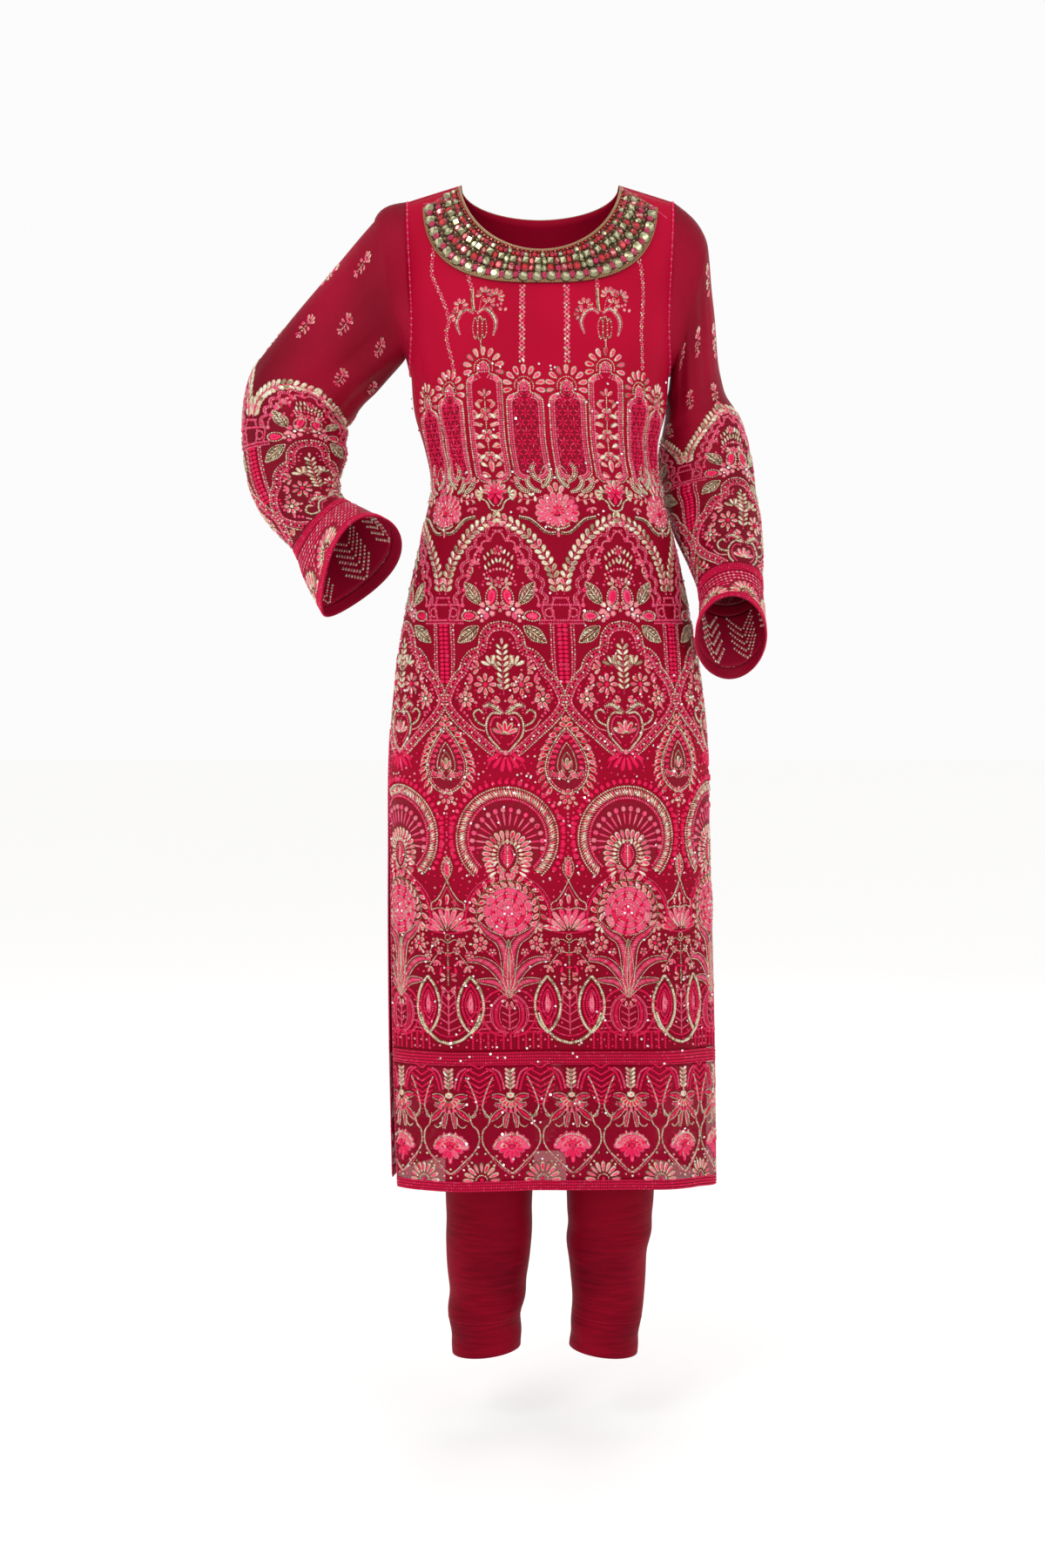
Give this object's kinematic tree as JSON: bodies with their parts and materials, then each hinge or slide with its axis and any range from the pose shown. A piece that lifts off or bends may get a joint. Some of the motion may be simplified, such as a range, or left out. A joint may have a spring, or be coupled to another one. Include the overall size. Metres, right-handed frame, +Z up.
{
  "type": "salwar kameez suit",
  "caption": "Worn-shape salwar kameez suit: long embroidered kameez with beaded neck, side slits, sheer lace-edged border and flared cuffs, over narrow trousers.",
  "frame": {"origin": "between the shoulders, in the middle of the neck opening at the height of the shoulder ridge beside it, where the wearer holds the suit up", "axes": "+Z up; -Y is the front of the suit; +X is the wearer's left"},
  "size_m": [0.6275, 0.2743, 1.4098],
  "materials": {
    "crimson_organza": "crimson organza, embroidered with gold and pink thread",
    "sheer_sleeve": "sheer crimson chiffon, embroidered on the forearms",
    "sheer_border": "sheer dark crimson organza with embroidered border",
    "cuff_cloth": "embroidered crimson organza",
    "pink_lace": "hot pink corded lace",
    "beaded_neck": "bronze thread ground set with crystals and beads",
    "zari_binding": "gold-brown metallic thread",
    "trouser_cloth": "dark crimson slub silk"
  },
  "bodies": {
    "root": {"kameez_front": "crimson_organza", "kameez_back": "crimson_organza", "front_join_lace": "pink_lace", "front_hem_border": "sheer_border", "front_hem_lace": "pink_lace", "back_join_lace": "pink_lace", "back_hem_border": "sheer_border", "back_hem_lace": "pink_lace", "sleeve_right": "sheer_sleeve", "cuff_join_lace_right": "pink_lace", "cuff_band_right": "cuff_cloth", "cuff_hem_lace_right": "pink_lace", "sleeve_left": "sheer_sleeve", "cuff_join_lace_left": "pink_lace", "cuff_band_left": "cuff_cloth", "cuff_hem_lace_left": "pink_lace", "neck_bib": "beaded_neck", "neck_binding": "zari_binding", "trouser_leg_right": "trouser_cloth", "trouser_leg_left": "trouser_cloth", "trouser_waistband": "trouser_cloth"}
  },
  "joints": []
}
